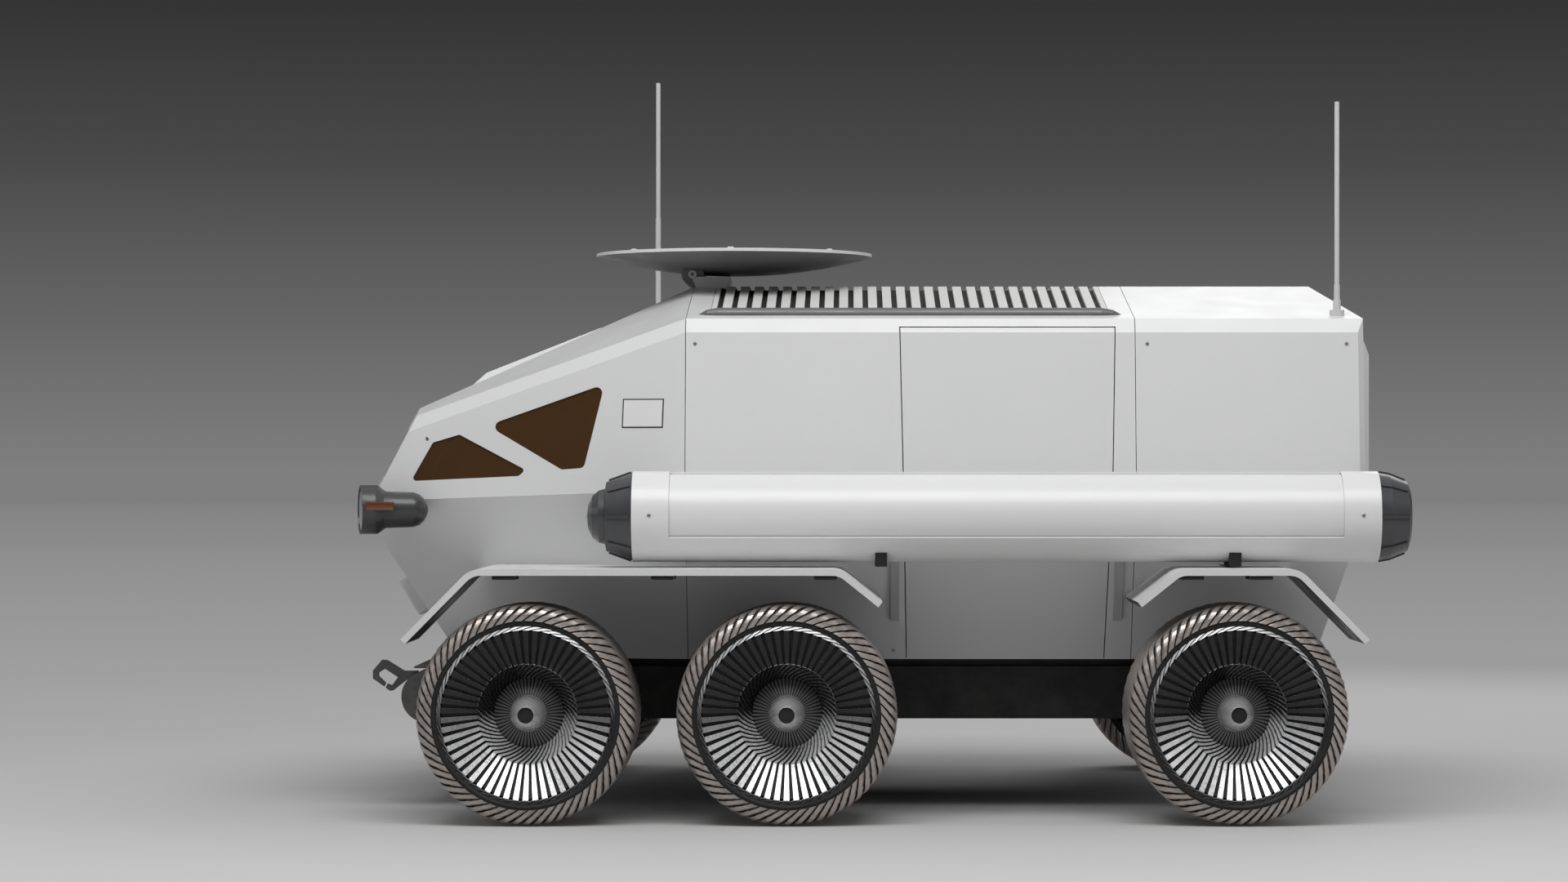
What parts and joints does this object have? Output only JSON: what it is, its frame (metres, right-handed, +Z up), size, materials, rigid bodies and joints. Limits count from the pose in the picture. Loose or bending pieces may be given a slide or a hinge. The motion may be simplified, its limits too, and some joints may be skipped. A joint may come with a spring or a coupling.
{
  "type": "six-wheeled crewed lunar rover",
  "caption": "Wheeled pressurised rover with a faceted cabin, rolled side arrays, roof dish, arched fenders and bladed metal wheels.",
  "frame": {"origin": "on the ground under the middle of the overall box", "axes": "+X forward, +Y to the rover's left, +Z up"},
  "size_m": [6, 5.2, 4.444],
  "materials": {
    "cabin_white": "satin white paint",
    "door_white": "satin white paint",
    "radiator_white": "satin white slats with dark gaps",
    "tube_white": "smooth white shell",
    "cover_white": "smooth white curved cover",
    "amber_glass": "dark brown tinted glass",
    "dark_glass": "near-black tinted glass",
    "rail_grey": "satin dark grey",
    "handrail_grey": "satin light grey",
    "lamp_grey": "satin dark grey housings with glass fronts",
    "chassis_black": "matt near-black",
    "bar_grey": "satin dark grey",
    "seat_cloth": "dark grey cloth",
    "console_grey": "matt dark grey",
    "cap_grey": "satin dark grey caps",
    "dish_grey": "satin mid grey with a white rim",
    "antenna_white": "satin white rods",
    "gear_grey": "satin dark grey",
    "fender_black": "black sheet with a white edge",
    "spoke_metal": "bright silver spoke blades",
    "tread_metal": "brownish silver tread blades"
  },
  "bodies": {
    "rover": {"cabin_front": "cabin_white", "cabin_mid": "cabin_white", "cabin_rear": "cabin_white", "windshield": "amber_glass", "roof_window": "dark_glass", "side_glass_left": "amber_glass", "side_glass_right": "amber_glass", "side_door_left": "door_white", "side_door_right": "door_white", "roof_radiator": "radiator_white", "roof_rails": "rail_grey", "handrails": "handrail_grey", "headlamps": "lamp_grey", "chassis": "chassis_black", "tow_bar": "bar_grey", "tow_hook": "bar_grey", "crew_seats": "seat_cloth", "console": "console_grey", "array_rolls": "cap_grey", "dish_pedestal": "dish_grey", "antenna_front": "antenna_white", "antenna_rear": "antenna_white", "suspension_front": "gear_grey", "suspension_middle": "gear_grey", "suspension_rear": "gear_grey", "fender_front_left": "fender_black", "fender_rear_left": "fender_black", "array_tube_left": "tube_white", "fender_front_right": "fender_black", "fender_rear_right": "fender_black", "array_tube_right": "tube_white"},
    "dish": {"dish_reflector": "dish_grey"},
    "rear_door": {"rear_door": "door_white"},
    "cover_left": {"array_cover_left": "cover_white"},
    "cover_right": {"array_cover_right": "cover_white"},
    "knuckle_front_left": {"knuckle_front_left": "gear_grey"},
    "knuckle_front_right": {"knuckle_front_right": "gear_grey"},
    "knuckle_rear_left": {"knuckle_rear_left": "gear_grey"},
    "knuckle_rear_right": {"knuckle_rear_right": "gear_grey"},
    "wheel_front_left": {"wheel_front_left": "spoke_metal", "tread_front_left": "tread_metal"},
    "wheel_front_right": {"wheel_front_right": "spoke_metal", "tread_front_right": "tread_metal"},
    "wheel_middle_left": {"wheel_middle_left": "spoke_metal", "tread_middle_left": "tread_metal"},
    "wheel_middle_right": {"wheel_middle_right": "spoke_metal", "tread_middle_right": "tread_metal"},
    "wheel_rear_left": {"wheel_rear_left": "spoke_metal", "tread_rear_left": "tread_metal"},
    "wheel_rear_right": {"wheel_rear_right": "spoke_metal", "tread_rear_right": "tread_metal"}
  },
  "joints": [
    {"name": "steer_front_left", "type": "hinge", "parent": "rover", "child": "knuckle_front_left", "pos_m": [1.934, 2.12, 0.614], "axis": [0, 0, 1], "range_deg": [-20, 20]},
    {"name": "steer_front_right", "type": "hinge", "parent": "rover", "child": "knuckle_front_right", "pos_m": [1.934, -2.12, 0.614], "axis": [0, 0, 1], "range_deg": [-20, 20]},
    {"name": "steer_rear_left", "type": "hinge", "parent": "rover", "child": "knuckle_rear_left", "pos_m": [-2.004, 2.12, 0.614], "axis": [0, 0, 1], "range_deg": [-20, 20]},
    {"name": "steer_rear_right", "type": "hinge", "parent": "rover", "child": "knuckle_rear_right", "pos_m": [-2.004, -2.12, 0.614], "axis": [0, 0, 1], "range_deg": [-20, 20]},
    {"name": "spin_front_left", "type": "hinge", "parent": "knuckle_front_left", "child": "wheel_front_left", "pos_m": [1.934, 2.25, 0.614], "axis": [0, 1, 0], "continuous": true},
    {"name": "spin_front_right", "type": "hinge", "parent": "knuckle_front_right", "child": "wheel_front_right", "pos_m": [1.934, -2.25, 0.614], "axis": [0, 1, 0], "continuous": true},
    {"name": "spin_middle_left", "type": "hinge", "parent": "rover", "child": "wheel_middle_left", "pos_m": [0.494, 2.25, 0.614], "axis": [0, 1, 0], "continuous": true},
    {"name": "spin_middle_right", "type": "hinge", "parent": "rover", "child": "wheel_middle_right", "pos_m": [0.494, -2.25, 0.614], "axis": [0, 1, 0], "continuous": true},
    {"name": "spin_rear_left", "type": "hinge", "parent": "knuckle_rear_left", "child": "wheel_rear_left", "pos_m": [-2.004, 2.25, 0.614], "axis": [0, 1, 0], "continuous": true},
    {"name": "spin_rear_right", "type": "hinge", "parent": "knuckle_rear_right", "child": "wheel_rear_right", "pos_m": [-2.004, -2.25, 0.614], "axis": [0, 1, 0], "continuous": true},
    {"name": "dish_tilt", "type": "hinge", "parent": "rover", "child": "dish", "pos_m": [1.094, 0, 3.15], "axis": [0, 1, 0], "range_deg": [0, 35]},
    {"name": "rear_door_swing", "type": "hinge", "parent": "rover", "child": "rear_door", "pos_m": [-2.87, 0.6, 2], "axis": [0, 0, -1], "range_deg": [0, 100]},
    {"name": "cover_slide_left", "type": "hinge", "parent": "rover", "child": "cover_left", "pos_m": [-0.727, 2.1, 1.707], "axis": [1, 0, 0], "range_deg": [0, 60]},
    {"name": "cover_slide_right", "type": "hinge", "parent": "rover", "child": "cover_right", "pos_m": [-0.727, -2.1, 1.707], "axis": [-1, 0, 0], "range_deg": [0, 60]}
  ]
}
